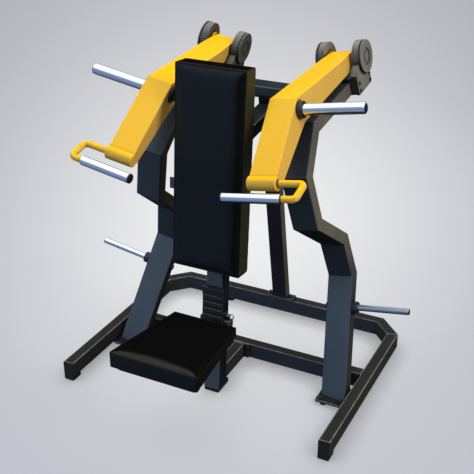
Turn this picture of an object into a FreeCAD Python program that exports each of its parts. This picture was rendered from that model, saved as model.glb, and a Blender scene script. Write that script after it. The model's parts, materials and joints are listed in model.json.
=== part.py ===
import FreeCAD, Part
import math
import os

os.makedirs("parts", exist_ok=True)

# A plate-loaded shoulder press with two independent arms, in millimetres.
# X runs to the machine's right, Y to the rear and Z up. Every piece is drawn with Y measured
# from the front ends of the base rails, and is moved as it is saved so that the origin lies on
# the floor under the middle of the whole machine.

# Base tubes
BASE_HALF = 675.0        # outer face of a base rail
RAIL_W = 52.0
RAIL_H = 76.0
RAIL_BOTTOM = 20.0
RAIL_TOP = RAIL_BOTTOM + RAIL_H
RAIL_LENGTH = 933.0      # straight part of a rail, to the cut corner
REAR_HALF = 564.0        # outer corner of the rear crossbar
REAR_Y = 1049.0
MIDDLE_Y = 524.0         # front face of the middle crossbar
EDGE_R = 6.0
RAIL_EDGE_R = 3.0

# Each upright, arm and pivot is built upright in its own frame (across, back, up) and is then
# leaned inwards and turned slightly towards the user.
SIDE_X = 538.0
LEAN = 10.4
TOE = 1.5

# Upright: flat tube, mitred at each bend; centre line in (back, up)
TUBE_W = 120.0
TUBE_T = 60.0
UPRIGHT_LINE = [(394, -20), (662, 529), (617, 723), (380, 893), (343, 1117), (472, 1292), (866, 1345.5)]
FOOT_TOP = 24.0
FOOT_T = 10.0
FOOT_BOLT_Y = (362, 471)

# Pivot
PIVOT = (960.0, 1468.0)
PIVOT_R = 74.0
SHAFT_R = 20.0
RUNNING_GAP = 0.08
YOKE_SHIFT = 4.0         # the pivot stands this far outwards of the arm's middle
HOUSING_IN = 65.5        # these five are measured from the middle of the pivot
HOUSING_OUT = 84.0
PLATE_OUT = 96.0
SEAL_OUT = 104.0
CAP_OUT = 109.0
YOKE_BOLTS = [(874, 1367), (882, 1333), (998, 1384), (1002, 1353)]
SLOPE = math.degrees(math.atan2(1345.5 - 1292, 866 - 472))

# Arm: box section, outline in (back, up)
ARM_HALF = 60.0
ARM_END_HALF = 54.5
ARM_FRONT_LOW = (61, 1222)
ARM_ELBOW = (322, 1457)
ARM_REAR_TOP = (930, 1494)
ARM_UNDER_REAR = (960, 1429)
ARM_UNDER_ELBOW = (370, 1344)
ARM_UNDER_FRONT = (98, 1170)
ARM_EDGE_R = 4.0
NARROWING = (793.0, 893.0)   # the arm's sides draw in between these, to pass inside the yoke
HUB_R = 33.0
HUB_GAP = 0.5

# Fittings on the arm
SLEEVE = (61.0, 1194.0)
SLEEVE_R = 30.0
SLEEVE_HALF = 62.0
BAR_R = 14.0
BEND_R = 22.0
HANDLE = [(68, 61, 1194), (174, 61, 1194), (175, -36, 1168), (-116, -63.5, 1181.7)]
GRIP_R = 20.0
GRIP_START = 118.0
HORN = (334.0, 1405.0)
HORN_R = 24.0
HORN_SHOULDER = 4.0      # the horns' ends inside the collars are thinner by this
RIGHT_HORN = (80.0, 341.0)   # outer face of the collar, and tip
LEFT_HORN = (63.0, 329.0)
STORAGE = (594.0, 394.0)
STORAGE_R = 14.5
STORAGE_HORN = (86.0, 330.0)

# Centre column: front face leans back with the backrest
COLUMN_Y = 216.0
COLUMN_LEAN = math.degrees(math.atan(0.08))
COLUMN_HALF = 40.0
COLUMN_D = 76.0
COLUMN_TOP = 1250.0

# Rear strut and upper crossbar
STRUT_Y = 998.3
STRUT_LEAN = math.degrees(math.atan(0.182))
STRUT_D = 50.0
CROSS_CORNER = (778.0, 1317.0)
CROSS_W = 75.0
CROSS_T = 50.0

# Backrest and seat
PAD_CORNER_R = 3.0
BACK_HALF = 163.0
BACK_LOW = 653.0
BACK_HIGH = 1546.0
BACK_T = 88.0
BOARD_T = 12.0
SEAT_FRONT_HALF = 208.0
SEAT_REAR_HALF = 156.0
SEAT_FRONT = -283.0
SEAT_REAR = 173.0
SEAT_UNDER = (379.5, 373.5)  # heights of the pad's underside at its front and rear
SEAT_TOP = (454.0, 418.0)
PLATE_TOP = 360.0
SLIDE_WALL = 7.5
SLIDE_TOP = 372.0
SLIDE_GAP = 1.0
PIN = (30.0, 397.0)      # seat pull pin, in (back, up) from the column's foot
PIN_R = 6.0

ORIGIN_Y = (SEAT_FRONT + REAR_Y) / 2

V = FreeCAD.Vector
UP = V(0, 0, 1)
ACROSS = V(1, 0, 0)

SIDE = FreeCAD.Placement(
    V(SIDE_X, 0, 0),
    FreeCAD.Rotation(UP, -TOE).multiply(FreeCAD.Rotation(V(0, 1, 0), -LEAN)),
)
COLUMN = FreeCAD.Placement(V(0, COLUMN_Y, 0), FreeCAD.Rotation(ACROSS, -COLUMN_LEAN))
STRUT = FreeCAD.Placement(V(0, STRUT_Y, RAIL_TOP), FreeCAD.Rotation(ACROSS, STRUT_LEAN))
CROSS = FreeCAD.Placement(V(0, *CROSS_CORNER), FreeCAD.Rotation(ACROSS, SLOPE))


def place(shape, placement):
    """The shape moved from its own frame into the machine's."""
    moved = shape.copy()
    moved.Placement = placement.multiply(shape.Placement)
    return moved


def mirrored(shape):
    return shape.mirror(V(0, 0, 0), ACROSS)


def save(name, *shapes):
    solids = [solid.copy() for shape in shapes for solid in shape.Solids]
    for solid in solids:
        solid.translate(V(0, -ORIGIN_Y, 0))
    whole = solids[0] if len(solids) == 1 else Part.makeCompound(solids)
    whole.exportStep("parts/%s.step" % name)


def save_pair(name, shape):
    """Saves the right-hand piece from the side frame, and its mirror image for the left."""
    placed = place(shape, SIDE)
    save("right_" + name, placed)
    save("left_" + name, mirrored(placed))


def save_each(name, right, left):
    """Saves a pair whose left piece differs from the right, both drawn as right-hand pieces."""
    save("right_" + name, place(right, SIDE))
    save("left_" + name, mirrored(place(left, SIDE)))


def save_group(name, *shapes):
    """Saves like pieces of both sides together under one name."""
    placed = [place(shape, SIDE) for shape in shapes]
    save(name, *placed, *[mirrored(shape) for shape in placed])


def box(x0, x1, y0, y1, z0, z1):
    return Part.makeBox(x1 - x0, y1 - y0, z1 - z0, V(x0, y0, z0))


def fillet_along(shape, direction, radius):
    """Rounds the straight edges that run in one direction."""
    chosen = []
    for edge in shape.Edges:
        if edge.Curve.TypeId == "Part::GeomLine" and abs(edge.Curve.Direction.dot(direction)) > 0.999:
            chosen.append(edge)
    return shape.makeFillet(radius, chosen)


def tube(x0, x1, y0, y1, z0, z1, direction, radius=EDGE_R):
    """A rectangular tube with its long edges rounded."""
    return fillet_along(box(x0, x1, y0, y1, z0, z1), direction, radius)


def side_prism(points, x0, x1):
    """An outline in (Y, Z) drawn out from x0 to x1."""
    corners = [V(x0, y, z) for y, z in points]
    face = Part.Face(Part.makePolygon(corners + corners[:1]))
    return face.extrude(V(x1 - x0, 0, 0))


def plan_prism(points, z0, z1):
    """An outline in (X, Y) drawn up from z0 to z1."""
    corners = [V(x, y, z0) for x, y in points]
    face = Part.Face(Part.makePolygon(corners + corners[:1]))
    return face.extrude(V(0, 0, z1 - z0))


def disc(centre, radius, x0, x1):
    """A round piece on an axis across the machine, through centre in (Y, Z)."""
    return Part.makeCylinder(radius, x1 - x0, V(x0, *centre), ACROSS)


def rounded_end(shape, x, radius):
    """Rounds the circular edge of a disc at x."""
    chosen = [e for e in shape.Edges if e.Closed and abs(e.CenterOfMass.x - x) < 0.01]
    return shape.makeFillet(radius, chosen)


def offset_line(points, distance):
    """The line parallel to an open run of points, with mitred corners."""
    result = []
    for i, (a, b) in enumerate(points):
        before = points[max(i - 1, 0)] if i > 0 else None
        after = points[i + 1] if i + 1 < len(points) else None
        normals = []
        for start, end in ((before, (a, b)), ((a, b), after)):
            if start is not None and end is not None:
                run = math.hypot(end[0] - start[0], end[1] - start[1])
                normals.append(((end[1] - start[1]) / run, (start[0] - end[0]) / run))
        n0, n1 = normals[0], normals[-1]
        scale = distance / (1 + n0[0] * n1[0] + n0[1] * n1[1])
        result.append((a + (n0[0] + n1[0]) * scale, b + (n0[1] + n1[1]) * scale))
    return result


def band(points, half):
    """A closed outline of a given half width around an open run of points."""
    return offset_line(points, half) + offset_line(points, -half)[::-1]


def hex_bolt(x, y, z, size, axis=UP):
    """A hexagon head with a washer, its underside at the point given, standing along axis."""
    washer = Part.makeCylinder(size * 1.05, size * 0.16)
    corners = [
        V(size * 0.92 * math.cos(math.radians(60 * i)), size * 0.92 * math.sin(math.radians(60 * i)), size * 0.16)
        for i in range(7)
    ]
    head = Part.Face(Part.makePolygon(corners)).extrude(V(0, 0, size * 0.62))
    bolt = washer.fuse(head).removeSplitter()
    return place(bolt, FreeCAD.Placement(V(x, y, z), FreeCAD.Rotation(UP, axis)))


def socket_screw(x, y, z, size, axis):
    """A round socket head of the given radius, its underside at the point given."""
    head = Part.makeCylinder(size, size)
    corners = [
        V(size * 0.55 * math.cos(math.radians(60 * i)), size * 0.55 * math.sin(math.radians(60 * i)), size * 0.4)
        for i in range(7)
    ]
    socket = Part.Face(Part.makePolygon(corners)).extrude(V(0, 0, size))
    return place(head.cut(socket), FreeCAD.Placement(V(x, y, z), FreeCAD.Rotation(UP, axis)))


def bent_rod(points, radius, bend):
    """A round bar that follows straight runs joined by bends."""
    stops = [V(*p) for p in points]
    edges = []
    start = stops[0]
    for i in range(1, len(stops) - 1):
        back = (stops[i - 1] - stops[i]).normalize()
        ahead = (stops[i + 1] - stops[i]).normalize()
        half_angle = math.acos(back.dot(ahead)) / 2
        reach = bend / math.tan(half_angle)
        arc_in = stops[i] + back * reach
        arc_out = stops[i] + ahead * reach
        middle = stops[i] + (back + ahead).normalize() * (bend / math.sin(half_angle) - bend)
        edges.append(Part.makeLine(start, arc_in))
        edges.append(Part.Arc(arc_in, middle, arc_out).toShape())
        start = arc_out
    edges.append(Part.makeLine(start, stops[-1]))
    path = Part.Wire(edges)
    section = Part.Wire(Part.makeCircle(radius, stops[0], stops[1] - stops[0]))
    return path.makePipeShell([section], True, False)


# ---------------------------------------------------------------- base

def base_plan():
    """The outer line of the base, from the right rail's front end round to the left one."""
    right = [(BASE_HALF, 0), (BASE_HALF, RAIL_LENGTH), (REAR_HALF, REAR_Y)]
    return right + [(-x, y) for x, y in right[::-1]]


def base_runs():
    """The four-cornered plan of each mitred tube of the base, in order round the base."""
    outer = base_plan()
    inner = offset_line(outer, -RAIL_W)
    return [[outer[i], outer[i + 1], inner[i + 1], inner[i]] for i in range(len(outer) - 1)]


def mitred_tube(plan):
    (x0, y0), (x1, y1) = plan[0], plan[1]
    direction = V(x1 - x0, y1 - y0, 0).normalize()
    return fillet_along(plan_prism(plan, RAIL_BOTTOM, RAIL_TOP), direction, RAIL_EDGE_R)


def make_base():
    right_rail, right_corner, rear, left_corner, left_rail = [mitred_tube(run) for run in base_runs()]
    save("right_base_rail", right_rail)
    save("left_base_rail", left_rail)
    save("rear_crossbar", rear, right_corner, left_corner)
    inner = BASE_HALF - RAIL_W
    middle = tube(-inner, inner, MIDDLE_Y, MIDDLE_Y + 50, RAIL_BOTTOM, RAIL_TOP, ACROSS, RAIL_EDGE_R)
    save("middle_crossbar", middle)
    flange = box(-50, 50, MIDDLE_Y - 8, MIDDLE_Y, RAIL_BOTTOM, RAIL_TOP)
    save("centre_rail_flange", flange)
    rail = tube(-26, 26, COLUMN_Y + COLUMN_D / 2, MIDDLE_Y - 8, RAIL_BOTTOM, RAIL_TOP, V(0, 1, 0), RAIL_EDGE_R)
    save("centre_base_rail", rail.cut(column_blank()))


def make_feet():
    boot = fillet_along(box(BASE_HALF - RAIL_W, BASE_HALF, -4, 0, 3, RAIL_TOP - 1), V(0, 1, 0), 3)
    sole = fillet_along(box(BASE_HALF - RAIL_W + 2, BASE_HALF - 2, 0, 60, 0, RAIL_BOTTOM), UP, 5)
    toe = fillet_along(box(BASE_HALF - RAIL_W + 2, BASE_HALF - 2, -4, 0, 0, 8), V(0, 1, 0), 2)
    right_boot = boot.fuse([sole, toe]).removeSplitter()
    save("right_front_boot", right_boot)
    save("left_front_boot", mirrored(right_boot))
    column_boot = fillet_along(box(-37, 37, COLUMN_Y + 2, COLUMN_Y + 110, 0, RAIL_BOTTOM), UP, 6)
    save("centre_boot", column_boot)
    pads = []
    for x in (-300, 300):
        pads.append(Part.makeCylinder(20, RAIL_BOTTOM, V(x, REAR_Y - RAIL_W / 2, 0)))
    for x in (-505, 505):
        for y in FOOT_BOLT_Y:
            pads.append(Part.makeCylinder(15, FOOT_TOP - FOOT_T, V(x, y, 0)))
    save("floor_pads", *pads)


def make_foot_plates():
    plate = fillet_along(box(470, BASE_HALF - RAIL_W, 342, 490, FOOT_TOP - FOOT_T, FOOT_TOP), UP, 4)
    save("right_foot_plate", plate)
    save("left_foot_plate", mirrored(plate))


# ---------------------------------------------------------------- uprights and pivots

def upright():
    body = side_prism(band(UPRIGHT_LINE, TUBE_T / 2), -TUBE_W / 2, TUBE_W / 2)
    rims = []
    for edge in body.Edges:
        ends = [v.Point.x for v in edge.Vertexes]
        on_side = abs(ends[0] - ends[1]) < 0.01
        heights = [v.Point.z for v in edge.Vertexes]
        depths = [v.Point.y for v in edge.Vertexes]
        at_end = max(heights) < 20 or min(depths) > 860
        if on_side and not at_end:
            rims.append(edge)
    body = body.makeFillet(EDGE_R, rims)
    placed = place(body, SIDE)
    return placed.cut(box(0, 1000, 0, 1000, -200, FOOT_TOP))


def make_uprights():
    right = upright()
    save("right_upright", right)
    save("left_upright", mirrored(right))


def in_slope(shape):
    """Lays a piece drawn level along the upright's last run, from that run's end."""
    return place(shape, FreeCAD.Placement(V(0, *UPRIGHT_LINE[-1]), FreeCAD.Rotation(ACROSS, SLOPE)))


def housing_outline(x0, x1):
    """Round bearing housing that widens down to the yoke block."""
    outline = [
        (865, 1315), (850, 1404), (887, 1443), (900, 1474), (1020, 1474), (1029, 1441),
        (1009, 1385), (1016, 1361), (1018, 1339),
    ]
    cheek = side_prism(outline, x0, x1)
    return disc(PIVOT, PIVOT_R, x0, x1).fuse(cheek).removeSplitter()


def both_ends(inner, outer):
    """The two spans (x0, x1) at equal distances either side of the pivot's middle."""
    return [(YOKE_SHIFT + inner, YOKE_SHIFT + outer), (YOKE_SHIFT - outer, YOKE_SHIFT - inner)]


def pivot_cap(x0, x1):
    """A shallow cap with a round recess and a low boss in it, its face to the greater x."""
    cap = rounded_end(disc(PIVOT, PIVOT_R, x0, x1), x1, 2.5)
    cap = cap.cut(disc(PIVOT, 38, x1 - 3, x1))
    return cap.fuse(disc(PIVOT, 22, x1 - 3, x1 - 1)).removeSplitter()


def make_pivots():
    block = in_slope(box(YOKE_SHIFT - HOUSING_OUT, YOKE_SHIFT + HOUSING_OUT, 0, 150, -30, 46))
    bore = disc(PIVOT, SHAFT_R, -200, 200)
    above_block = in_slope(box(-200, 200, -60, 300, -200, 46))
    housings = [housing_outline(*span).cut(above_block) for span in both_ends(HOUSING_IN, HOUSING_OUT)]
    save_pair("pivot_yoke", block.fuse(housings).removeSplitter().cut(bore))
    save_group("yoke_plates", *[housing_outline(*span).cut(bore) for span in both_ends(HOUSING_OUT, PLATE_OUT)])
    save_group("pivot_shafts", disc(PIVOT, SHAFT_R, YOKE_SHIFT - PLATE_OUT, YOKE_SHIFT + PLATE_OUT))
    hollow = disc(PIVOT, 30, -200, 200)
    seals = [disc(PIVOT, PIVOT_R - 1.5, *span).cut(hollow) for span in both_ends(PLATE_OUT, SEAL_OUT)]
    save_group("pivot_seals", *seals)
    outer_cap = pivot_cap(YOKE_SHIFT + SEAL_OUT, YOKE_SHIFT + CAP_OUT)
    inner_cap = mirrored(pivot_cap(SEAL_OUT - YOKE_SHIFT, CAP_OUT - YOKE_SHIFT))
    save_group("pivot_caps", outer_cap, inner_cap)
    screws = []
    for step in (-1, 1):
        for y, z in YOKE_BOLTS:
            screws.append(socket_screw(YOKE_SHIFT + step * PLATE_OUT, y, z, 5, ACROSS * step))
    save_group("yoke_bolts", *screws)


def make_stops():
    rise = 33.5
    pad = Part.makeCylinder(22, rise, V(0, -266, 30))
    pad = pad.makeFillet(4, [e for e in pad.Edges if e.Closed and e.CenterOfMass.z > 60])
    save_group("stop_bumpers", in_slope(pad))


def horn(centre, radius, seat, shoulder, tip, rounding):
    """A plate horn: a thinner end from the seat to the shoulder, then its full radius to the tip."""
    bar = rounded_end(disc(centre, radius, shoulder, tip), tip, rounding)
    return bar.fuse(disc(centre, radius - HORN_SHOULDER, seat, shoulder)).removeSplitter()


def collar(centre, outer_r, inner_r, x0, x1, rounding):
    return rounded_end(disc(centre, outer_r, x0, x1), x1, rounding).cut(disc(centre, inner_r, x0, x1))


def make_storage():
    shoulder, tip = STORAGE_HORN
    save_pair("storage_horn", horn(STORAGE, STORAGE_R, TUBE_W / 2, shoulder, tip, 5))
    nut = rounded_end(disc(STORAGE, 15, -TUBE_W / 2 - 12, -TUBE_W / 2), -TUBE_W / 2 - 12, 6)
    save_group("storage_collars", collar(STORAGE, 27, STORAGE_R - HORN_SHOULDER, TUBE_W / 2, shoulder, 3))
    save_group("storage_horn_nuts", nut)


# ---------------------------------------------------------------- arms

def slope_of(start, end):
    return math.atan2(end[1] - start[1], end[0] - start[0])


def arm_profile():
    """The arm's side view, its rear end one arc that runs smoothly into the top and underside."""
    top = slope_of(ARM_ELBOW, ARM_REAR_TOP)
    under = slope_of(ARM_UNDER_ELBOW, ARM_UNDER_REAR)
    y = PIVOT[0]
    top_z = ARM_ELBOW[1] + (y - ARM_ELBOW[0]) * math.tan(top)
    under_z = ARM_UNDER_ELBOW[1] + (y - ARM_UNDER_ELBOW[0]) * math.tan(under)
    radius = (top_z - under_z) / (1 / math.cos(top) + 1 / math.cos(under))
    z = under_z + radius / math.cos(under)
    arc_start = V(0, y - radius * math.sin(top), z + radius * math.cos(top))
    arc_end = V(0, y + radius * math.sin(under), z - radius * math.cos(under))
    arc = Part.Arc(arc_start, V(0, y + radius, z), arc_end).toShape()
    corners = [ARM_UNDER_ELBOW, ARM_UNDER_FRONT, (76, 1170), ARM_FRONT_LOW, ARM_ELBOW]
    run = Part.makePolygon([arc_end] + [V(0, *corner) for corner in corners] + [arc_start])
    return Part.Face(Part.Wire(run.Edges + [arc]))


def arm_box():
    face = arm_profile()
    face.translate(V(-ARM_HALF, 0, 0))
    body = face.extrude(V(2 * ARM_HALF, 0, 0))
    rims = []
    for edge in body.Edges:
        ends = [v.Point for v in edge.Vertexes]
        if abs(ends[0].x - ends[1].x) < 0.01 and edge.Length > 60:
            rims.append(edge)
    body = body.makeFillet(ARM_EDGE_R, rims)
    waste = [
        (ARM_HALF, NARROWING[0]), (ARM_END_HALF, NARROWING[1]), (ARM_END_HALF, 1040),
        (ARM_HALF + 20, 1040), (ARM_HALF + 20, NARROWING[0]),
    ]
    for step in (-1, 1):
        body = body.cut(plan_prism([(step * x, y) for x, y in waste], 1300, 1600))
    reach = HOUSING_IN - HUB_GAP
    hub = disc(PIVOT, HUB_R, YOKE_SHIFT - reach, YOKE_SHIFT + reach)
    beside = hub.cut(box(-ARM_END_HALF, ARM_END_HALF, 800, 1100, 1300, 1600))
    body = body.fuse(beside.Solids).removeSplitter()
    body = body.cut(disc(PIVOT, SHAFT_R + RUNNING_GAP, -100, 100))
    return body.cut(disc(SLEEVE, SLEEVE_R, -100, 100))


def make_arms():
    save_pair("arm_box", arm_box())
    sleeve = disc(SLEEVE, SLEEVE_R, -SLEEVE_HALF, SLEEVE_HALF)
    sleeve = rounded_end(rounded_end(sleeve, SLEEVE_HALF, 2), -SLEEVE_HALF, 2)
    save_pair("handle_sleeve", sleeve)
    save_pair("handle_bar", bent_rod(HANDLE, BAR_R, BEND_R))
    inner = V(*HANDLE[3])
    run = (V(*HANDLE[2]) - inner).normalize()
    length = (GRIP_START - inner.x) / run.x
    grip = Part.makeCylinder(GRIP_R, length, inner, run).cut(Part.makeCylinder(BAR_R, length, inner, run))
    save_pair("grip", grip)
    plug = Part.makeCylinder(GRIP_R + 0.5, 7, inner - run * 7, run)
    plug = plug.makeFillet(3, [e for e in plug.Edges if e.Closed and e.CenterOfMass.x < inner.x - 1])
    save_pair("grip_plug", plug)
    horns = []
    for shoulder, tip in (RIGHT_HORN, LEFT_HORN):
        bar = horn(HORN, HORN_R, ARM_HALF, shoulder, tip, 9)
        horns.append(bar.cut(disc(HORN, 4, tip - 8, tip)))
    save_each("weight_horn", *horns)
    inner_r = HORN_R - HORN_SHOULDER
    thick = collar(HORN, 35, inner_r, ARM_HALF, RIGHT_HORN[0], 3)
    thin = collar(HORN, 26, inner_r, ARM_HALF, LEFT_HORN[0], 1)
    save_each("horn_collar", thick, thin)
    save_pair("horn_end_cap", rounded_end(disc(HORN, 31, -ARM_HALF - 9, -ARM_HALF), -ARM_HALF - 9, 3))


# ---------------------------------------------------------------- centre frame

def column_blank():
    blank = tube(-COLUMN_HALF, COLUMN_HALF, 0, COLUMN_D, -60, COLUMN_TOP, UP)
    return place(blank, COLUMN)


def strut_blank():
    blank = tube(-COLUMN_HALF, COLUMN_HALF, 0, STRUT_D, -60, 1400, UP)
    return place(blank, STRUT)


def make_centre():
    save("centre_column", column_blank().cut(box(-200, 200, 0, 600, -200, RAIL_BOTTOM)))
    bar = place(tube(-400, 400, 0, CROSS_W, -CROSS_T, 0, ACROSS), CROSS)
    beyond = place(box(-TUBE_W / 2, 900, 0, 1500, 900, 1700), SIDE)
    bar = bar.cut(beyond).cut(mirrored(beyond))
    save("upper_crossbar", bar)
    top_flange = place(fillet_along(box(-70, 70, 4, 71, -CROSS_T - 8, -CROSS_T), UP, 4), CROSS)
    save("strut_top_flange", top_flange)
    base_flange = fillet_along(box(-76, 76, REAR_Y - RAIL_W, REAR_Y, RAIL_TOP, RAIL_TOP + 8), UP, 4)
    save("strut_base_flange", base_flange)
    over = place(box(-200, 200, -300, 500, -CROSS_T - 8, 400), CROSS)
    under = box(-200, 200, 800, 1300, -200, RAIL_TOP + 8)
    save("rear_strut", strut_blank().cut(over).cut(under))
    link = tube(-COLUMN_HALF, COLUMN_HALF, -290, 205, -50, 13, V(0, 1, 0))
    link = place(link, FreeCAD.Placement(V(0, 617, 1195), FreeCAD.Rotation(ACROSS, SLOPE)))
    save("column_link", link.cut(column_blank()).cut(strut_blank()))


def make_backrest():
    board = box(-BACK_HALF + 14, BACK_HALF - 14, -BOARD_T, 0, BACK_LOW + 14, BACK_HIGH - 14)
    board = fillet_along(board, V(0, 1, 0), 12)
    save("backrest_board", place(board, COLUMN))
    pad = box(-BACK_HALF, BACK_HALF, -BACK_T, -0.5, BACK_LOW, BACK_HIGH)
    pad = fillet_along(pad, V(0, 1, 0), PAD_CORNER_R)
    save("backrest_pad", place(pad.cut(board), COLUMN))
    arm = box(-255, -COLUMN_HALF, 40, 46, 950, 1000)
    tab = box(-COLUMN_HALF - 6, -COLUMN_HALF, 8, 62, 950, 1000)
    save("side_bracket", place(arm.fuse(tab).removeSplitter(), COLUMN))


def make_bolts():
    bolts = []
    for x in (492, 588):
        for y in FOOT_BOLT_Y:
            for side in (-1, 1):
                bolts.append(hex_bolt(side * x, y, FOOT_TOP, 10))
    for x in (-60, 60):
        bolts.append(hex_bolt(x, REAR_Y - RAIL_W / 2, RAIL_TOP + 8, 9))
        for z in (36, 80):
            bolts.append(hex_bolt(x * 0.65, MIDDLE_Y - 8, z, 6, V(0, -1, 0)))
        under_crossbar = hex_bolt(x * 0.92, CROSS_W / 2, -CROSS_T - 8, 8, -UP)
        bolts.append(place(under_crossbar, CROSS))
    for z in (760, 1060):
        bolts.append(place(hex_bolt(0, COLUMN_D, z, 8, V(0, 1, 0)), COLUMN))
    save("frame_bolts", *bolts)


# ---------------------------------------------------------------- seat

def seat_line(heights, y0, y1):
    """Points at y0 and y1 on the sloping line with the given heights at the seat's front and rear."""
    rise = (heights[1] - heights[0]) / (SEAT_REAR - SEAT_FRONT)
    return [(y, heights[0] + (y - SEAT_FRONT) * rise) for y in (y0, y1)]


def make_seat():
    inside = COLUMN_HALF + SLIDE_GAP
    outside = inside + SLIDE_WALL
    front, back = -SLIDE_GAP - SLIDE_WALL, COLUMN_D + SLIDE_GAP + SLIDE_WALL
    slide = fillet_along(box(-outside, outside, front, back, 262, SLIDE_TOP), UP, 6)
    right_lug = box(inside, 80, 0, 42, 345, 383)
    left_lug = box(-66, -inside, 0, 42, 345, 383)
    cheek = box(inside, outside, PIN[0] - 14, PIN[0] + 14, SLIDE_TOP - 5, PIN[1] + 13)
    hollow = box(-inside, inside, -SLIDE_GAP, COLUMN_D + SLIDE_GAP, 200, 500)
    carriage = slide.fuse([right_lug, left_lug, cheek]).removeSplitter().cut(hollow)
    bore = disc(PIN, PIN_R + RUNNING_GAP, 0, 200)
    save("seat_carriage", place(carriage.cut(bore), COLUMN))
    save("seat_pin_housing", place(disc(PIN, 11, outside, 60).cut(bore), COLUMN))
    bracket = side_prism([(-170, 356), (-170, 330), (60, 290), (300, 262), (300, 356)], -30, 30)
    bracket = bracket.fuse(box(-95, 95, -190, 130, PLATE_TOP - 6, PLATE_TOP)).removeSplitter()
    keep_out = place(box(-outside, outside, front, 300, -100, 600), COLUMN)
    save("seat_bracket", bracket.cut(keep_out))


def make_ribbed_cover():
    """A guard in front of the column: a flat cap over four rounded folds."""
    low, high = SLIDE_TOP + 2, 504
    guard = box(-48, 48, -9, -1.5, low, high + 10)
    pitch = (high - low) / 4
    folds = []
    for i in range(4):
        fold = box(-52, 52, -14, -1.5, low + pitch * i + 1, low + pitch * (i + 1) - 1)
        rims = [e for e in fold.Edges if e.CenterOfMass.y < -13.9]
        folds.append(fold.makeFillet(8, rims))
    cap = box(-53, 53, -14, -1.5, high, 538)
    cap = cap.makeFillet(4, [e for e in cap.Edges if e.CenterOfMass.y < -13.9])
    save("seat_ribbed_cover", place(guard.fuse(folds + [cap]).removeSplitter(), COLUMN))


def make_seat_cushion():
    board = [(-186, SEAT_FRONT + 22), (186, SEAT_FRONT + 22), (136, SEAT_REAR - 20), (-136, SEAT_REAR - 20)]
    board_body = plan_prism(board, PLATE_TOP, 400)
    under = seat_line(SEAT_UNDER, -400, 300)
    wedge = side_prism([(-400, PLATE_TOP), (300, PLATE_TOP)] + under[::-1], -300, 300)
    save("seat_board", fillet_along(board_body.common(wedge), UP, 10))
    sides = [
        (-SEAT_FRONT_HALF, SEAT_FRONT), (SEAT_FRONT_HALF, SEAT_FRONT),
        (SEAT_REAR_HALF, SEAT_REAR), (-SEAT_REAR_HALF, SEAT_REAR),
    ]
    pad = plan_prism(sides, 300, 600)
    profile = side_prism(under + seat_line(SEAT_TOP, -400, 300)[::-1], -300, 300)
    save("seat_pad", fillet_along(pad.common(profile), UP, PAD_CORNER_R))


def make_seat_pin():
    rod = disc(PIN, PIN_R, COLUMN_HALF + 1.5, 70)
    shoulder = disc(PIN, 9, 60.4, 65)
    ring = Part.makeTorus(11, 2.4, V(77, *PIN), V(0, 1, 0))
    save("seat_pin", place(rod.fuse([shoulder, ring]).removeSplitter(), COLUMN))


make_base()
make_feet()
make_foot_plates()
make_uprights()
make_pivots()
make_stops()
make_storage()
make_arms()
make_centre()
make_backrest()
make_bolts()
make_seat()
make_ribbed_cover()
make_seat_cushion()
make_seat_pin()
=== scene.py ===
import json
import math

import bpy
import numpy as np
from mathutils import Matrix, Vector
from mathutils.geometry import convex_hull_2d

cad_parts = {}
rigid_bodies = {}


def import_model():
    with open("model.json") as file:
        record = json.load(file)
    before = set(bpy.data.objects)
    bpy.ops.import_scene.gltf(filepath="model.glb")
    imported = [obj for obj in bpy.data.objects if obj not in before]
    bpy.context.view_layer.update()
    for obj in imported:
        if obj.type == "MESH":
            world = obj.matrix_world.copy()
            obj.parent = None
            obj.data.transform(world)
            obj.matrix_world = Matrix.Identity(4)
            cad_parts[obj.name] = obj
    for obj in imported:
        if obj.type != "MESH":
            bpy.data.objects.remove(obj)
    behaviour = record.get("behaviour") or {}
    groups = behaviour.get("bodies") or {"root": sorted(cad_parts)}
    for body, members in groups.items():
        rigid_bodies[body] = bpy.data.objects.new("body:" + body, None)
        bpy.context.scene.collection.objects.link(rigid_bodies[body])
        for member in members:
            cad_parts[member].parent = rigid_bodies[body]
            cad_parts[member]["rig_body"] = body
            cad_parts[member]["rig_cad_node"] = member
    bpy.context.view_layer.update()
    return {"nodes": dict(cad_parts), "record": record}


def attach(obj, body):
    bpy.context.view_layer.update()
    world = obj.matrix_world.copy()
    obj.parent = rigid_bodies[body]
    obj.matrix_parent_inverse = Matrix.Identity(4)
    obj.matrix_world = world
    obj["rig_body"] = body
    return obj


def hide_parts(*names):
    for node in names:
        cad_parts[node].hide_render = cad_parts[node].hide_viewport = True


# ---------------------------------------------------------------- frame

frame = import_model()
NODES = frame["nodes"]
RECORD = frame["record"]

# Camera: seen from the front right corner, from above
VIEW_AZIMUTH = 26.4
VIEW_ELEVATION = 26.42
VIEW_DISTANCE = 4.2435
VIEW_AIM = Vector((-0.0251, 0.1569, 0.6570))
LENS_MM = 69.1
SENSOR_MM = 36.0

# Cushions, with lengths in metres
VOXEL = 0.005
ROUNDING_PASSES = 6
RIM_DEPTH = 0.002
PANEL_FACING = 0.9       # cosine to the panel's direction from which a face is part of the panel
FREE_FACING = 0.8        # cosine to the panel's direction from which a point is free to swell
SWELL_FRAMES = 20
SWELL_PRESSURE = 4.0
CROWN = 0.012
CROWN_FULLNESS = 2.1     # how soon the crown levels off
LEAST_LENGTH = 1e-9      # stands in for zero in a division
WELT_R = 0.0017
WELT_INSET = 0.003
WELT_ROUNDNESS = 3

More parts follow.
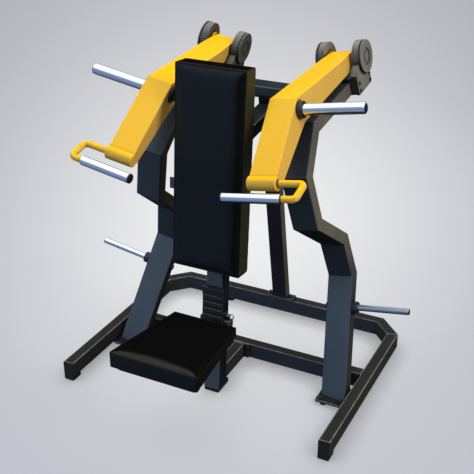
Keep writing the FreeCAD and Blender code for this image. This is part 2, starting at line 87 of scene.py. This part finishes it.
# Recipes for materials
NOISE_RANGE = (0.3, 0.7)        # holds nearly all of a noise texture's values
TURN_SIDEWAYS = (0.15, 0.75)    # the normal's squared X, from facing the front to facing sideways
TURN_UPWARDS = (0.25, 0.85)     # the normal's squared Z, from upright faces to level ones
EDGE_TURN = (0.995, 0.93)       # cosine of the rounded normal to the flat one, from a face to its edge
EDGE_SAMPLES = 4
WEAR_SCALE = 30.0
WEAR_RANGE = (0.35, 0.6)
OPEN_FACE = 0.98                # openness from which a face is clear of its corners
CREVICE_SAMPLES = 6

# Sockets of the mix node when it mixes colours
MIX_FACTOR = 0
MIX_FIRST = 6
MIX_SECOND = 7
MIX_RESULT = 2

UP = (0, 0, 1)
DOWN = (0, 0, -1)
RIGHT = (1, 0, 0)
FRONT = (0, -1, 0)


# ---------------------------------------------------------------- recipes for materials

class Nodes:
    """Builds the nodes of one tree in short steps."""

    def __init__(self, tree):
        self.tree = tree

    def add(self, kind, inputs=None, **settings):
        made = self.tree.nodes.new(kind)
        for key, value in settings.items():
            setattr(made, key, value)
        for key, value in (inputs or {}).items():
            self.feed(made.inputs[key], value)
        return made

    def feed(self, socket, value):
        if isinstance(value, bpy.types.NodeSocket):
            self.tree.links.new(value, socket)
        elif socket.type == "RGBA":
            socket.default_value = (*value, 1)
        else:
            socket.default_value = value

    def spread(self, value, in_low, in_high, low=0.0, high=1.0):
        inputs = {"Value": value, "From Min": in_low, "From Max": in_high, "To Min": low, "To Max": high}
        return self.add("ShaderNodeMapRange", inputs).outputs["Result"]

    def maths(self, operation, first, second):
        return self.add("ShaderNodeMath", {0: first, 1: second}, operation=operation).outputs[0]

    def times(self, first, second):
        return self.maths("MULTIPLY", first, second)

    def vectors(self, operation, first, second, output):
        return self.add("ShaderNodeVectorMath", {0: first, 1: second}, operation=operation).outputs[output]

    def split(self, vector):
        return self.add("ShaderNodeSeparateXYZ", {0: vector}).outputs

    def mix(self, factor, first, second):
        inputs = {MIX_FACTOR: factor, MIX_FIRST: first, MIX_SECOND: second}
        return self.add("ShaderNodeMix", inputs, data_type="RGBA").outputs[MIX_RESULT]

    def blend_shaders(self, factor, first, second):
        return self.add("ShaderNodeMixShader", {0: factor, 1: first, 2: second}).outputs[0]


class Recipe(Nodes):
    """Builds one material, so that each look reads as a short list of steps."""

    def __init__(self, name):
        self.material = bpy.data.materials.new(name)
        self.material.use_nodes = True
        super().__init__(self.material.node_tree)
        self.shader = self.tree.nodes["Principled BSDF"]
        self.place = self.add("ShaderNodeTexCoord").outputs["Object"]
        self.relief = None

    def noise(self, scale, detail=2.0, stretch=(1, 1, 1)):
        vector = self.add("ShaderNodeMapping", {"Vector": self.place, "Scale": stretch}).outputs[0]
        inputs = {"Vector": vector, "Scale": scale, "Detail": detail}
        return self.add("ShaderNodeTexNoise", inputs).outputs["Fac"]

    def patches(self, scale, low, high, detail=3.0):
        """A value that wanders between low and high."""
        return self.spread(self.noise(scale, detail), *NOISE_RANGE, low, high)

    def cells(self, scale, feature="F1"):
        texture = self.add("ShaderNodeTexVoronoi", {"Vector": self.place, "Scale": scale}, feature=feature)
        return texture.outputs["Distance"]

    def facing(self, front, side, top):
        """A colour that shifts with the way the surface faces: front or back, sideways, up or down. As a base
        colour this is painted light and shade.
        """
        normal = self.add("ShaderNodeNewGeometry").outputs["Normal"]
        squared = self.split(self.vectors("MULTIPLY", normal, normal, "Vector"))
        sideways = self.spread(squared["X"], *TURN_SIDEWAYS)
        upwards = self.spread(squared["Z"], *TURN_UPWARDS)
        return self.mix(upwards, self.mix(sideways, front, side), top)

    def gloss(self, front, side, top):
        """How strongly the surface mirrors, by the way it faces."""
        return self.facing((front,) * 3, (side,) * 3, (top,) * 3)

    def edges(self, radius, broken):
        """1 along outer edges and 0 on flat faces, broken up a little as wear is. The paints use it for
        painted edge highlights, the fasteners for wear.
        """
        flat = self.add("ShaderNodeNewGeometry").outputs["True Normal"]
        rounded = self.add("ShaderNodeBevel", {"Radius": radius}, samples=EDGE_SAMPLES).outputs[0]
        edge = self.spread(self.vectors("DOT_PRODUCT", rounded, flat, "Value"), *EDGE_TURN)
        wear = self.spread(self.noise(WEAR_SCALE, detail=4.0), *WEAR_RANGE, low=1.0 - broken)
        return self.times(edge, wear)

    def crevices(self, reach, closed=0.8):
        """1 in the corners where two surfaces meet and 0 on open faces."""
        inputs = {"Distance": reach}
        openness = self.add("ShaderNodeAmbientOcclusion", inputs, samples=CREVICE_SAMPLES).outputs["AO"]
        return self.spread(openness, OPEN_FACE, closed)

    def leaning(self, direction, least, most):
        """0 to 1 as the surface turns towards the direction given."""
        normal = self.add("ShaderNodeNewGeometry").outputs["Normal"]
        return self.spread(self.vectors("DOT_PRODUCT", normal, direction, "Value"), least, most)

    def bump(self, height, depth, strength):
        inputs = {"Height": height, "Distance": depth, "Strength": strength}
        if self.relief is not None:
            inputs["Normal"] = self.relief
        self.relief = self.add("ShaderNodeBump", inputs).outputs["Normal"]

    def finish(self, colour, rough, **others):
        self.feed(self.shader.inputs["Base Color"], colour)
        self.feed(self.shader.inputs["Roughness"], rough)
        if self.relief is not None:
            self.feed(self.shader.inputs["Normal"], self.relief)
        for key, value in others.items():
            self.feed(self.shader.inputs[key.replace("_", " ")], value)
        return self.material


# ---------------------------------------------------------------- materials

# Colours are linear red, green and blue.
DEEP_SHADE = (0.003, 0.003, 0.004)
PATCH_TONE = 0.7            # the paint's patches against its front colour
LOW_SIDES = (0.45, 0.75)    # heights between which the low_side colour fades out
HIGH_FRONTS = (0.70, 1.10)  # heights between which the high_front colour comes in


def powder_coat(name, front, side, top, edge, rough=0.4, edge_width=0.004, low_side=None, high_front=None):
    """Dark textured paint with painted light: a cool painted sheen in front, warm painted light at the sides
    and a painted highlight along its upper edges.

    The low_side and high_front colours are painted shade for faces that stand in the shade of other parts."""
    look = Recipe(name)
    height = look.split(look.place)["Z"]
    sides = look.mix(look.spread(height, *LOW_SIDES), low_side or side, side)
    fronts = look.mix(look.spread(height, *HIGH_FRONTS), front, high_front or front)
    # painted light: each face takes the front, side or top colour by the way it points
    base = look.facing(fronts, sides, top)
    base = look.mix(look.patches(7.0, low=0.0, high=0.35), base, [PATCH_TONE * part for part in front])
    # painted shade on faces that point downwards
    base = look.mix(look.times(look.leaning(DOWN, least=0.03, most=0.25), 0.8), base, DEEP_SHADE)
    # painted highlight along the upper edges, broken up by noise
    lit_edges = look.times(look.edges(edge_width, broken=0.5), look.leaning(UP, least=-0.2, most=0.4))
    base = look.mix(look.times(lit_edges, 0.8), base, edge)
    # painted shade in the corners where two surfaces meet
    base = look.mix(look.times(look.crevices(0.012), 0.85), base, DEEP_SHADE)
    look.bump(look.noise(900.0), depth=0.0002, strength=0.5)
    look.bump(look.noise(260.0, detail=1.0), depth=0.0003, strength=0.3)
    roughness = look.patches(12.0, low=rough - 0.05, high=rough + 0.07)
    return look.finish(base, roughness, Specular_IOR_Level=look.gloss(front=0.4, side=0.08, top=0.03))


# Painted light on the yellow: shaded on faces that point forward, lit at the sides and brightest on top.
YELLOW_FRONT = (0.44, 0.295, 0.038)
YELLOW_SIDE = (0.86, 0.50, 0.090)
YELLOW_TOP = (0.96, 0.52, 0.002)
DEEP_YELLOW = (0.66, 0.34, 0.004)
YELLOW_EDGE_HIGHLIGHT = (1.0, 0.72, 0.12)
YELLOW_CREVICE_SHADE = (0.09, 0.045, 0.002)
DEEP_PATCHES = (0.35, 0.7)


def yellow_paint(name):
    """Satin yellow with a fine orange-peel surface, a little deeper in patches, with painted light and shade
    by facing, painted edge highlights and painted shade in its corners.
    """
    look = Recipe(name)
    # painted light by facing
    base = look.facing(YELLOW_FRONT, YELLOW_SIDE, YELLOW_TOP)
    deeper = look.spread(look.noise(5.0, detail=3.0), *DEEP_PATCHES, high=0.12)
    base = look.mix(deeper, base, DEEP_YELLOW)
    # painted highlight along the edges
    base = look.mix(look.times(look.edges(0.004, broken=0.3), 0.5), base, YELLOW_EDGE_HIGHLIGHT)
    # painted shade in the corners where two surfaces meet
    base = look.mix(look.times(look.crevices(0.010), 0.9), base, YELLOW_CREVICE_SHADE)
    look.bump(look.noise(420.0), depth=0.0002, strength=0.35)
    roughness = look.patches(15.0, low=0.34, high=0.44)
    return look.finish(base, roughness, Specular_IOR_Level=look.gloss(front=0.25, side=0.25, top=0.05))


def chrome(name, deep, pale, rough):
    """Satin chrome with faint turning marks and finger-dulled patches."""
    look = Recipe(name)
    base = look.mix(look.noise(9.0, detail=3.0), deep, pale)
    look.bump(look.noise(90.0, stretch=(14, 1, 1)), depth=0.0001, strength=0.25)
    roughness = look.patches(24.0, low=rough, high=rough + 0.1, detail=4.0)
    return look.finish(base, roughness, Metallic=1.0)


DULL_STEEL = (0.42, 0.42, 0.41)
BRIGHT_STEEL = (0.62, 0.61, 0.58)


def ground_steel(name):
    """Plain steel with fine grinding marks."""
    look = Recipe(name)
    base = look.mix(look.noise(40.0, detail=3.0), DULL_STEEL, BRIGHT_STEEL)
    look.bump(look.noise(160.0, stretch=(1, 8, 8)), depth=0.0001, strength=0.4)
    return look.finish(base, look.patches(60.0, low=0.28, high=0.42), Metallic=1.0)


OXIDE_DARK = (0.012, 0.012, 0.013)
OXIDE_PALE = (0.035, 0.033, 0.030)
OXIDE_EDGE = (0.16, 0.155, 0.145)


def black_oxide(name):
    """Blackened fasteners, rubbed to bare metal on their edges."""
    look = Recipe(name)
    base = look.mix(look.noise(80.0, detail=3.0), OXIDE_DARK, OXIDE_PALE)
    base = look.mix(look.edges(0.0012, broken=0.6), base, OXIDE_EDGE)
    look.bump(look.noise(700.0), depth=0.0001, strength=0.4)
    return look.finish(base, look.patches(90.0, low=0.35, high=0.5, detail=2.0), Metallic=0.6)


VINYL_FRONT = (0.007, 0.010, 0.014)
VINYL_FRONT_RIGHT_SHADE = (0.001, 0.001, 0.001)
VINYL_TOP = (0.004, 0.004, 0.004)
VINYL_TOP_ROLL_HIGHLIGHT = (0.036, 0.035, 0.031)
VINYL_CREASE_SHADE = (0.002, 0.002, 0.002)
PEBBLES = 620.0
FRONT_ROLL = (0.2, -1, 0)


def vinyl(name, side):
    """Black upholstery vinyl: a fine pebbled grain with painted shade in the creases between the pebbles,
    softly uneven sheen, and painted light by facing.
    """
    look = Recipe(name)
    # painted shade on front faces as they turn to the right
    front = look.mix(look.leaning(RIGHT, least=0.02, most=0.2), VINYL_FRONT, VINYL_FRONT_RIGHT_SHADE)
    # painted highlight where the top rolls forward to its front edge
    top = look.mix(look.leaning(FRONT_ROLL, least=0.0, most=0.4), VINYL_TOP, VINYL_TOP_ROLL_HIGHLIGHT)
    # painted light by facing: the side colour is painted light on the sides
    base = look.facing(front, side, top)
    creases = look.spread(look.cells(PEBBLES, "DISTANCE_TO_EDGE"), 0.0, 0.12)
    # painted shade in the creases between the pebbles
    base = look.mix(look.spread(creases, 0.0, 1.0, low=0.35, high=0.0), base, VINYL_CREASE_SHADE)
    look.bump(look.cells(PEBBLES), depth=0.00035, strength=0.45)
    look.bump(creases, depth=0.0002, strength=0.5)
    look.bump(look.noise(16.0, detail=3.0), depth=0.0015, strength=0.25)
    roughness = look.patches(10.0, low=0.42, high=0.56)
    return look.finish(base, roughness, Specular_IOR_Level=look.gloss(front=0.12, side=0.15, top=0.0))


BOARD_DARK = (0.010, 0.009, 0.008)
BOARD_PALE = (0.030, 0.026, 0.022)


def stained_board(name):
    """Black-stained plywood whose grain still shows."""
    look = Recipe(name)
    grain = look.noise(22.0, detail=6.0, stretch=(1, 1, 12))
    base = look.mix(grain, BOARD_DARK, BOARD_PALE)
    look.bump(grain, depth=0.0004, strength=0.5)
    return look.finish(base, look.spread(grain, *NOISE_RANGE, low=0.55, high=0.75))


RUBBER_DARK = (0.008, 0.008, 0.008)
RUBBER_PALE = (0.022, 0.021, 0.020)


def rubber(name):
    """Matt moulded rubber with a fine rough skin."""
    look = Recipe(name)
    base = look.mix(look.noise(200.0, detail=3.0), RUBBER_DARK, RUBBER_PALE)
    look.bump(look.noise(700.0, detail=3.0), depth=0.0003, strength=0.6)
    return look.finish(base, look.patches(30.0, low=0.62, high=0.82), Specular_IOR_Level=0.25)


PLASTIC_FRONT = (0.010, 0.012, 0.018)
PLASTIC_SIDE = (0.012, 0.011, 0.009)
PLASTIC_TOP = (0.014, 0.015, 0.018)
PLASTIC_DUST = (0.03, 0.03, 0.032)


def moulded_plastic(name):
    """Black plastic with a spark-eroded grain, a trace of dust, and painted light by facing."""
    look = Recipe(name)
    # painted light: the colour shifts with the way each face points
    base = look.facing(PLASTIC_FRONT, PLASTIC_SIDE, PLASTIC_TOP)
    base = look.mix(look.patches(60.0, low=0.0, high=0.3), base, PLASTIC_DUST)
    look.bump(look.cells(1100.0), depth=0.00015, strength=0.4)
    return look.finish(base, look.patches(30.0, low=0.36, high=0.5), Specular_IOR_Level=0.4)


# Painted light on the frame paints: a cool painted sheen in front, warm painted light at the sides and
# painted highlights on the edges; the shaded side is painted shade on low sides.
PALE_EDGE_HIGHLIGHT = (0.16, 0.17, 0.18)
BRIGHT_EDGE_HIGHLIGHT = (0.42, 0.41, 0.37)
BLUE_FRONT = (0.038, 0.060, 0.092)
GREY_TOP = (0.070, 0.070, 0.066)
WARM_SIDE = (0.165, 0.146, 0.106)
SHADED_SIDE = (0.050, 0.044, 0.034)
LOOKS = {
    "frame_paint": powder_coat(
        "frame_paint", front=BLUE_FRONT, side=WARM_SIDE, top=GREY_TOP, edge=PALE_EDGE_HIGHLIGHT, low_side=SHADED_SIDE
    ),
    "base_paint": powder_coat(
        "base_paint", front=(0.018, 0.027, 0.038), side=(0.050, 0.046, 0.036), top=(0.028, 0.027, 0.022),
        edge=BRIGHT_EDGE_HIGHLIGHT, edge_width=0.009
    ),
    "pivot_paint": powder_coat(
        "pivot_paint", front=(0.045, 0.047, 0.048), side=(0.240, 0.230, 0.190), top=(0.250, 0.250, 0.218),
        edge=PALE_EDGE_HIGHLIGHT, rough=0.32
    ),
    "arm_paint": yellow_paint("arm_paint"),
    "chrome": chrome("chrome", deep=(0.70, 0.78, 0.90), pale=(0.84, 0.88, 0.94), rough=0.10),
    "bare_steel": ground_steel("bare_steel"),
    "bolts": black_oxide("bolts"),
    "upholstery": vinyl("upholstery", side=(0.036, 0.034, 0.019)),
    "board": stained_board("board"),
    "rubber": rubber("rubber"),
    "black_plastic": moulded_plastic("black_plastic"),
}

# The middle of the frame stands in the shade of the backrest: the same paint with painted shade on its sides
# and top and a lighter painted sheen in front.
SHADED_PAINT = powder_coat(
    "shaded_paint", front=(0.048, 0.076, 0.100), side=(0.004, 0.004, 0.004), top=(0.009, 0.008, 0.007),
    edge=BRIGHT_EDGE_HIGHLIGHT, edge_width=0.006
)
# The rear strut: the same paint with painted shade, darkest on its front.
SHADED_STRUT_PAINT = powder_coat(
    "shaded_strut_paint", front=(0.009, 0.011, 0.014), side=(0.135, 0.120, 0.098), top=(0.016, 0.015, 0.014),
    edge=PALE_EDGE_HIGHLIGHT
)
# The right upright: the same paint with painted shade on its upper front, where its arm shades it.
SHADED_UPRIGHT_PAINT = powder_coat(
    "shaded_upright_paint", front=BLUE_FRONT, side=WARM_SIDE, top=GREY_TOP, edge=PALE_EDGE_HIGHLIGHT, low_side=SHADED_SIDE,
    high_front=(0.006, 0.008, 0.011)
)
# The right storage horn: the same chrome made darker as painted shade, and rougher.
SHADED_CHROME = chrome("shaded_chrome", deep=(0.34, 0.40, 0.49), pale=(0.44, 0.50, 0.58), rough=0.30)
SPECIAL_LOOKS = {
    "right_storage_horn": SHADED_CHROME,
    "right_upright": SHADED_UPRIGHT_PAINT,
    "centre_column": SHADED_PAINT,
    "column_link": SHADED_PAINT,
    "upper_crossbar": SHADED_PAINT,
    "rear_strut": SHADED_STRUT_PAINT,
    "storage_horn_nuts": LOOKS["bolts"],
}
# The seat takes the same vinyl with darker painted light on its sides.
SEAT_VINYL = vinyl("seat_vinyl", side=(0.008, 0.008, 0.006))


def dress_nodes():
    slots = {part["node"]: part["material_slot"] for part in RECORD["subparts"]}
    for name, obj in NODES.items():
        obj.data.materials.clear()
        obj.data.materials.append(SPECIAL_LOOKS.get(name, LOOKS[slots[name]]))


# ---------------------------------------------------------------- cushions

def panel_normal(mesh, rough):
    """The direction of the panel that faces roughly the way given."""
    total = Vector()
    for face in mesh.polygons:
        if face.normal.dot(rough) > PANEL_FACING:
            total += face.normal * face.area
    return total.normalized()


def working_copy(node, name):
    obj = NODES[node].copy()
    obj.data = NODES[node].data.copy()
    obj.name = name
    obj.parent = None
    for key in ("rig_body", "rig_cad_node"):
        if key in obj:
            del obj[key]
    bpy.context.scene.collection.objects.link(obj)
    return obj


def apply_modifiers(obj):
    bpy.context.view_layer.update()
    shaped = obj.evaluated_get(bpy.context.evaluated_depsgraph_get())
    mesh = bpy.data.meshes.new_from_object(shaped)
    obj.modifiers.clear()
    obj.data = mesh


def positions(mesh):
    flat = np.empty(len(mesh.vertices) * 3)
    mesh.vertices.foreach_get("co", flat)
    return flat.reshape(-1, 3)


def put_positions(mesh, points):
    mesh.vertices.foreach_set("co", points.ravel())
    mesh.update()


def swell(obj, free, cap):
    """Blows the free points out with cloth pressure; the others hold still. The crown levels off at cap."""
    held = obj.vertex_groups.new(name="held")
    held.add([int(i) for i in np.flatnonzero(~free)], 1.0, "REPLACE")
    before = positions(obj.data)
    cloth = obj.modifiers.new("cloth", "CLOTH")
    cloth.settings.use_pressure = True
    cloth.settings.uniform_pressure_force = SWELL_PRESSURE
    cloth.settings.effector_weights.gravity = 0
    cloth.settings.vertex_group_mass = held.name
    cloth.point_cache.frame_end = SWELL_FRAMES
    for number in range(1, SWELL_FRAMES + 1):
        bpy.context.scene.frame_set(number)
    apply_modifiers(obj)
    bpy.context.scene.frame_set(1)
    moved = positions(obj.data) - before
    length = np.linalg.norm(moved, axis=1, keepdims=True)
    softened = cap * np.tanh(CROWN_FULLNESS * length / length.max())
    put_positions(obj.data, before + moved * softened / np.maximum(length, LEAST_LENGTH))


def smooth(obj):
    for face in obj.data.polygons:
        face.use_smooth = True


def rim_outline(rim, across, along):
    """The outline of the rim's points, flattened and drawn in a little on every side."""
    flat = np.stack((rim @ across, rim @ along), axis=1)
    middle = (flat.max(axis=0) + flat.min(axis=0)) / 2
    half = (flat.max(axis=0) - flat.min(axis=0)) / 2
    flat = middle + (flat - middle) * (1 - WELT_INSET / half)
    corners = [Vector(corner) for corner in flat]
    return [corners[i] for i in convex_hull_2d(corners)]


def make_welt(name, node, out):
    """A thin welt that runs round a cushion's panel, just inside its rounded rim."""
    points = positions(NODES[node].data)
    out = np.array(out)
    across = np.array(RIGHT)
    along = np.cross(out, across)
    depth = points @ out
    outline = rim_outline(points[depth > depth.max() - RIM_DEPTH], across, along)
    curve = bpy.data.curves.new(name, "CURVE")
    curve.dimensions = "3D"
    curve.bevel_depth = WELT_R
    curve.bevel_resolution = WELT_ROUNDNESS
    line = curve.splines.new("POLY")
    line.points.add(len(outline) - 1)
    line.use_cyclic_u = True
    for point, corner in zip(line.points, outline):
        spot = corner.x * across + corner.y * along + (depth.max() - WELT_R) * out
        point.co = (*spot, 1)
    obj = bpy.data.objects.new(name, curve)
    bpy.context.scene.collection.objects.link(obj)
    return obj


def cushion(name, node, body, rough, look):
    """A crowned vinyl cushion in the place of a plain pad: flat sides, a welt, and a swollen panel."""
    obj = working_copy(node, name)
    out = panel_normal(obj.data, rough)
    remesh = obj.modifiers.new("remesh", "REMESH")
    remesh.mode = "VOXEL"
    remesh.voxel_size = VOXEL
    obj.modifiers.new("rounded", "SMOOTH").iterations = ROUNDING_PASSES
    apply_modifiers(obj)
    depth = positions(obj.data) @ np.array(out)
    normals = np.array([point.normal for point in obj.data.vertices])
    free = (normals @ np.array(out) > FREE_FACING) & (depth > depth.max() - RIM_DEPTH)
    swell(obj, free, CROWN)
    obj.modifiers.new("soften", "SUBSURF").levels = 1
    apply_modifiers(obj)
    smooth(obj)
    welt = make_welt(name + "_welt", node, out)
    for piece in (obj, welt):
        piece.data.materials.clear()
        piece.data.materials.append(look)
        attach(piece, body)
    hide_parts(node)


def make_cushions():
    cushion("backrest_cushion", "backrest_pad", "frame", Vector(FRONT), LOOKS["upholstery"])
    cushion("seat_cushion", "seat_pad", "seat_carriage_body", Vector(UP), SEAT_VINYL)


# ---------------------------------------------------------------- studio

# The floor's painted pool of light and its reach are in shares of the view. Light bounces off the floor in a
# darker colour than the camera sees.
LIGHT_POOL_CENTRE = (0.5, 0.56, 0.0)
FADE_REACH = 0.72
FLOOR_SIZE = 40
FLOOR_BRIGHT = (0.90, 0.905, 0.912)
FLOOR_FADED = (0.53, 0.546, 0.60)
FLOOR_GRAIN = (0.6, 0.6, 0.6)
FLOOR_CONTACT_SHADOW = (0.34, 0.34, 0.36)
FLOOR_BOUNCE = (0.16, 0.16, 0.17)
FLOOR_GLOW = 0.72


def floor_material():
    """A pale floor that glows for the camera, with a painted pool of light in the middle of the view and
    painted shadow where parts stand on it; it still takes soft shadows.
    """
    look = Recipe("floor")
    window = look.add("ShaderNodeTexCoord").outputs["Window"]
    radius = look.vectors("DISTANCE", window, LIGHT_POOL_CENTRE, "Value")
    inputs = {"Value": radius, "From Max": FADE_REACH}
    shade = look.add("ShaderNodeMapRange", inputs, interpolation_type="SMOOTHSTEP").outputs["Result"]
    # painted pool of light, brightest in the middle of the view
    colour = look.mix(shade, FLOOR_BRIGHT, FLOOR_FADED)
    colour = look.mix(look.patches(300.0, low=0.0, high=0.03, detail=2.0), colour, FLOOR_GRAIN)
    # painted contact shadow where parts stand on the floor
    colour = look.mix(look.times(look.crevices(0.10, closed=0.5), 0.7), colour, FLOOR_CONTACT_SHADOW)
    look.bump(look.noise(500.0), depth=0.0002, strength=0.2)
    seen = look.add("ShaderNodeLightPath").outputs["Is Camera Ray"]
    look.finish(look.mix(seen, FLOOR_BOUNCE, colour), rough=0.8, Specular_IOR_Level=0.1)
    # the floor glows for camera rays: painted light
    glow = look.add("ShaderNodeEmission", {"Color": colour, "Strength": 1.0}).outputs[0]
    blend = look.blend_shaders(look.times(seen, FLOOR_GLOW), look.shader.outputs[0], glow)
    look.feed(look.tree.nodes["Material Output"].inputs["Surface"], blend)
    return look.material


def make_floor():
    bpy.ops.mesh.primitive_plane_add(size=FLOOR_SIZE, location=(0, 0, 0))
    floor = bpy.context.object
    floor.name = "floor"
    floor.data.materials.append(floor_material())
    floor.visible_glossy = False


EVEN_LIGHT = (0.95, 0.97, 1.0)
EVEN_STRENGTH = 0.42
ROOM_LOW = (0.13, 0.18, 0.28)
ROOM_HIGH = (0.29, 0.38, 0.57)
ROOM_CEILING = (1.3, 1.3, 1.3)
ROOM_DARK = (0.012, 0.012, 0.014)


def make_world():
    """Even soft light. Reflections see a room: white above, blue around, and dark low down at the back."""
    world = bpy.data.worlds.new("studio")
    bpy.context.scene.world = world
    world.use_nodes = True
    look = Nodes(world.node_tree)
    direction = look.split(look.add("ShaderNodeTexCoord").outputs["Generated"])
    room = look.mix(look.spread(direction["Z"], -0.9, 0.5), ROOM_LOW, ROOM_HIGH)
    room = look.mix(look.spread(direction["Z"], 0.40, 0.55), room, ROOM_CEILING)
    behind = look.spread(direction["Y"], -0.1, 0.15)
    low = look.spread(direction["Z"], 0.12, 0.0)
    underfoot = look.spread(direction["Z"], -0.72, -0.9)
    room = look.mix(look.maths("MAXIMUM", look.times(behind, low), underfoot), room, ROOM_DARK)
    reflected = look.add("ShaderNodeBackground", {"Color": room}).outputs[0]
    even = look.add("ShaderNodeBackground", {"Color": EVEN_LIGHT, "Strength": EVEN_STRENGTH}).outputs[0]
    mirrored = look.add("ShaderNodeLightPath").outputs["Is Glossy Ray"]
    blend = look.blend_shaders(mirrored, even, reflected)
    look.feed(look.tree.nodes["World Output"].inputs["Surface"], blend)


def area_light(name, place, aim, size, power, colour=(1, 1, 1)):
    data = bpy.data.lights.new(name, "AREA")
    data.size = size
    data.energy = power
    data.color = colour
    light = bpy.data.objects.new(name, data)
    bpy.context.scene.collection.objects.link(light)
    light.visible_glossy = False
    light.location = place
    light.rotation_euler = (Vector(aim) - Vector(place)).to_track_quat("-Z", "Y").to_euler()


def make_lights():
    area_light("top", place=(-0.5, -0.8, 4.2), aim=(0, 0, 0.6), size=3.0, power=80)
    area_light("front", place=(-2.2, -3.2, 2.0), aim=(0, 0, 0.7), size=2.2, power=42)
    area_light("right", place=(3.0, -0.8, 2.7), aim=(0, 0, 0.9), size=1.6, power=54, colour=(1.0, 0.97, 0.92))
    area_light("back", place=(0.6, 3.4, 2.6), aim=(0, 0, 1.0), size=2.0, power=20)


def make_camera():
    data = bpy.data.cameras.new("camera")
    data.lens = LENS_MM
    data.sensor_width = SENSOR_MM
    camera = bpy.data.objects.new("camera", data)
    bpy.context.scene.collection.objects.link(camera)
    turn = math.radians(VIEW_AZIMUTH)
    rise = math.radians(VIEW_ELEVATION)
    away = Vector((math.sin(turn) * math.cos(rise), -math.cos(turn) * math.cos(rise), math.sin(rise)))
    camera.location = VIEW_AIM + away * VIEW_DISTANCE
    camera.rotation_euler = (-away).to_track_quat("-Z", "Y").to_euler()
    bpy.context.scene.camera = camera


bpy.context.scene.view_settings.view_transform = "Standard"
dress_nodes()
make_cushions()
make_floor()
make_world()
make_lights()
make_camera()
